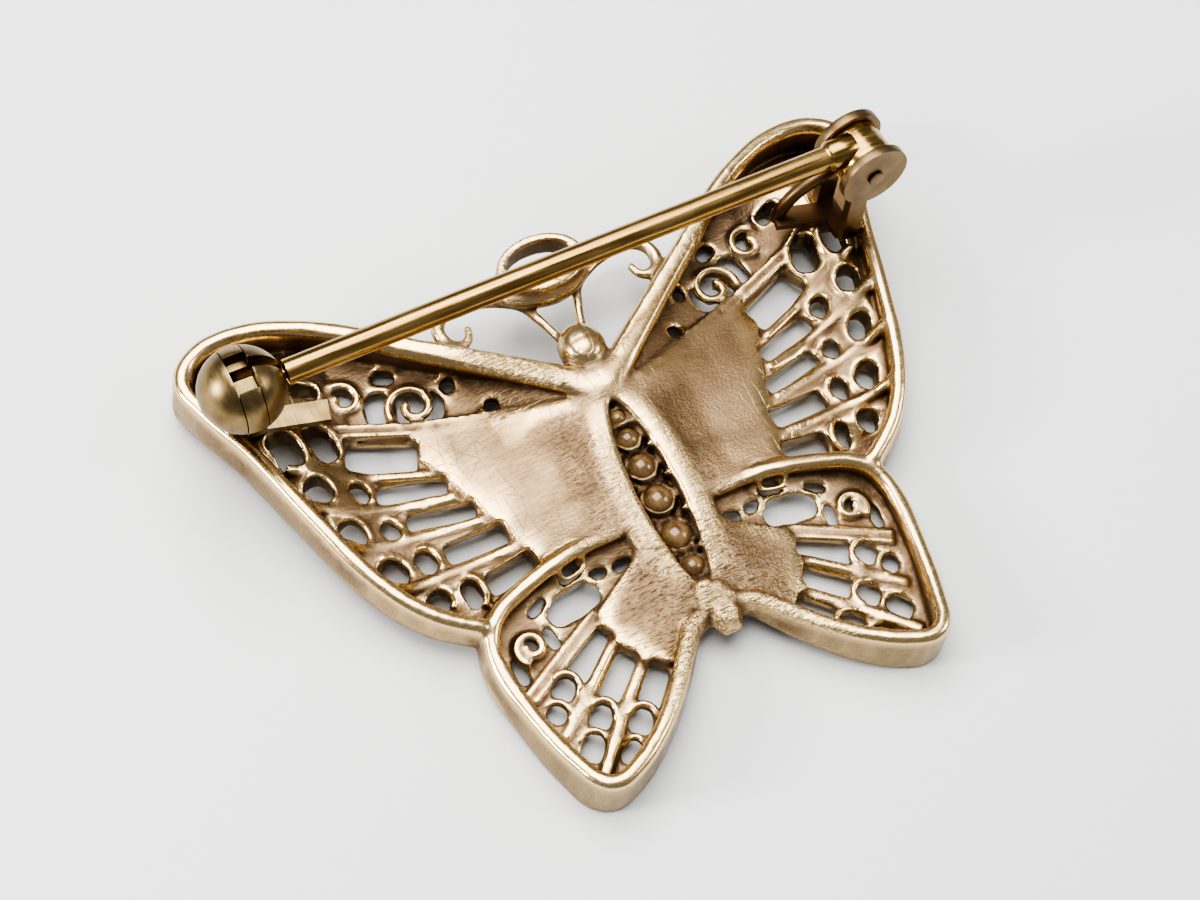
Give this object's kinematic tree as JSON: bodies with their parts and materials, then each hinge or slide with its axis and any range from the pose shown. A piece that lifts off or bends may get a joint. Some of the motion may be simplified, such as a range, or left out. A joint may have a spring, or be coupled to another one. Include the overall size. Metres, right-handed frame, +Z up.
{
  "type": "brooch",
  "caption": "Openwork butterfly brooch seen from its back, with a row of pearls, a hinged pin, and a ball safety catch with a turning rotor.",
  "frame": {"origin": "Middle of the footprint of the brooch, on the surface that its front rests on.", "axes": "X runs along the wingspan towards the hinge of the pin, Y towards the head, and Z up out of the back."},
  "size_m": [0.0412, 0.0312, 0.0102],
  "materials": {
    "gilt_metal": "satin gilt, polished rims",
    "hinge_metal": "satin gilt",
    "stem_metal": "drawn and polished",
    "catch_metal": "brushed",
    "pearl": "pearl lustre"
  },
  "bodies": {
    "frame": {"wing_frame": "gilt_metal", "pearl_1": "pearl", "pearl_2": "pearl", "pearl_3": "pearl", "pearl_4": "pearl", "pearl_5": "pearl", "pearl_6": "pearl", "hinge_bracket": "hinge_metal", "hinge_rivet": "hinge_metal", "catch_ball": "catch_metal"},
    "pin": {"pin_stem": "stem_metal"},
    "rotor": {"catch_rotor": "catch_metal"}
  },
  "joints": [
    {"name": "pin_swing", "type": "hinge", "parent": "frame", "child": "pin", "pos_m": [0.0174, 0.00912, 0.0081], "axis": [0, 0.9962, -0.0872], "range_deg": [0, 80]},
    {"name": "catch_turn", "type": "hinge", "parent": "frame", "child": "rotor", "pos_m": [-0.018, 0.00925, 0.0081], "axis": [1, 0, 0], "range_deg": [0, 100]}
  ]
}
